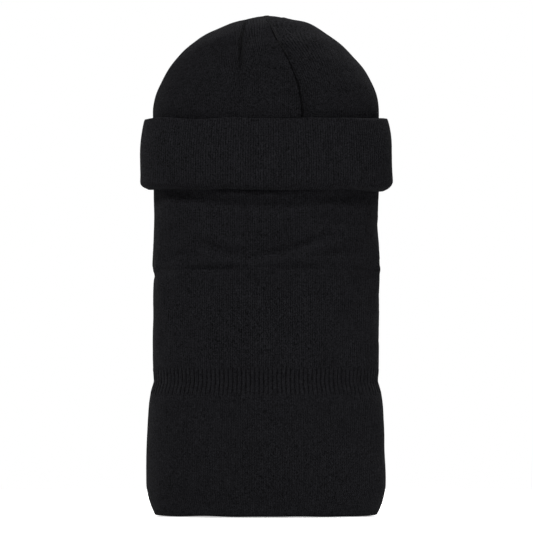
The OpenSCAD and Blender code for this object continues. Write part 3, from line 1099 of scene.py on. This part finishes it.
def build_dart_threads():
    """Overlocked thread along each dart, and the knot where the darts meet."""
    inset = KNIT_T + 1.6 * MM
    for name in ("back_left", "back_right", "front_left", "front_right"):
        node = f"dart_seam_{name}"
        lo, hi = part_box(node)
        count = round((hi.z - lo.z) / (1.7 * MM))
        t = (np.arange(count) + 0.5) / count
        side = 1 if lo.x > 0 else -1
        foot_x, top_x = side * max(abs(lo.x), abs(hi.x)), side * min(abs(lo.x), abs(hi.x))
        x = foot_x + (top_x - foot_x) * t - side * 1.5 * MM * (1 - 2 * t)
        z = lo.z + (hi.z - lo.z) * t
        w = np.maximum(dome_w(z, inset), np.abs(x) + 1 * MM)
        y = RATIO * np.sqrt(w * w - x * x) * (1 if name.startswith("front") else -1)
        centres = points_at(x, y, z)
        along = points_at(np.where(np.arange(count) % 2, 1.0, 0.6), 0, 0.5)
        sew(f"{node}_stitches", "hood", node, centres, along, outward(centres), 3.4 * MM, 0.5 * MM)
    lo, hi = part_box("crown_tip_tack")
    count = 7
    a = np.pi * np.arange(count) / count
    centres = points_at(0, 0, lo.z + (hi.z - lo.z) * (np.arange(count) + 1) / (count + 1))
    along = points_at(np.cos(a), np.sin(a), 0)
    sew("crown_tip_knot", "hood", "crown_tip_tack", centres, along, UP, hi.x - lo.x, 0.6 * MM)


def build_label():
    """A blank folded tape that curls a little."""
    width = label_hi.x - label_lo.x
    columns, rows = 14, 22
    x = np.linspace(label_lo.x, label_hi.x, columns)[None, :]
    t = np.linspace(0, 1, rows)[:, None]
    z = label_lo.z + (label_hi.z - label_lo.z) * t
    curl = 1.4 * MM * (1 - t) ** 2 + 0.7 * MM * np.sin(math.pi * (x - label_lo.x) / width) * (1 - t)
    middle = (label_lo.y + label_hi.y) / 2
    back, front = (points_at(x, middle + curl + side * 0.25 * MM, z) for side in (-1, 1))
    grid = np.vstack([back, front[::-1]])
    label = grid_mesh("blank_label", grid, np.zeros((2 * rows + 1, columns, 2)), np.zeros(grid.shape[:2]),
                      wrap_columns=False)
    finish_piece(label, satin, "label", "care_label")


build_crown()
build_cuff()
build_tube()
build_opening_trim()
for piece in (build_neck(), build_bib()):
    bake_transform(piece)
build_seam_threads()
build_corner_tacks()
build_label_tacks()
build_dart_threads()
build_label()

# ---- Studio ----

MIDDLE = Vector((0, 0, (cad_box[0].z + cad_box[1].z) / 2))


def build_world(ambient):
    """A white backdrop to the camera, and a dimmer sky to the object."""
    n = Nodes(bpy.data.worlds.new("studio"))
    seen = n.add("LightPath")
    sky = n.add("Background", Color=(1, 1, 1, 1), Strength=ambient)
    backdrop = n.add("Background", Color=(1, 1, 1, 1))
    mix = n.add("MixShader")
    sources = (seen.outputs["Is Camera Ray"], sky.outputs[0], backdrop.outputs[0])
    for socket, source in zip(mix.inputs, sources):
        n.set(socket, source)
    bpy.context.scene.world = n.finish(mix, "World")


def build_floor():
    """A round white floor, which the camera sees a little brighter than it is."""
    radius, sides = 1.1, 96
    angles = np.linspace(0, 2 * math.pi, sides + 1)[:-1]
    corners = [(radius * math.cos(a), radius * math.sin(a), -0.5 * MM) for a in angles]
    mesh = bpy.data.meshes.new("floor")
    mesh.from_pydata(corners, [], [range(sides)])
    floor = add_object("floor", mesh)
    n = new_material("floor_paint")
    paint = n.add("BsdfDiffuse", Color=(0.8, 0.8, 0.8, 1))
    seen = n.add("LightPath").outputs["Is Camera Ray"]
    glow = n.add("Emission", Strength=n.math("MULTIPLY", seen, 0.5))
    both = n.add("AddShader")
    for socket, source in zip(both.inputs, (paint, glow)):
        n.set(socket, source.outputs[0])
    mesh.materials.append(n.finish(both))


def softbox(name, place, size, power):
    light = bpy.data.lights.new(name, "AREA")
    light.shape = "DISK"
    light.size = size
    light.energy = power
    add_object(name, light, place, (MIDDLE - Vector(place)).to_track_quat("-Z", "Y").to_euler())


def build_camera():
    """A long lens, level with the object's middle."""
    width_seen = 0.533
    distance = 9.0
    camera = bpy.data.cameras.new("camera")
    camera.sensor_width = 36
    camera.lens = camera.sensor_width * distance / width_seen
    place = (0.6 * MM, -distance, MIDDLE.z - 0.5 * MM)
    bpy.context.scene.camera = add_object("camera", camera, place, (math.pi / 2, 0, 0))


build_world(0.21)
build_floor()
softbox("key", (-1.3, -2.2, 3.9), 1.3, 206)
softbox("side", (1.7, -1.1, 0.7), 0.7, 13)
softbox("far_key", (1.4, 2.2, 3.9), 1.3, 196)
softbox("far_side", (-1.7, 1.0, 0.7), 0.7, 14)
build_camera()
bpy.context.scene.view_settings.view_transform = "Standard"
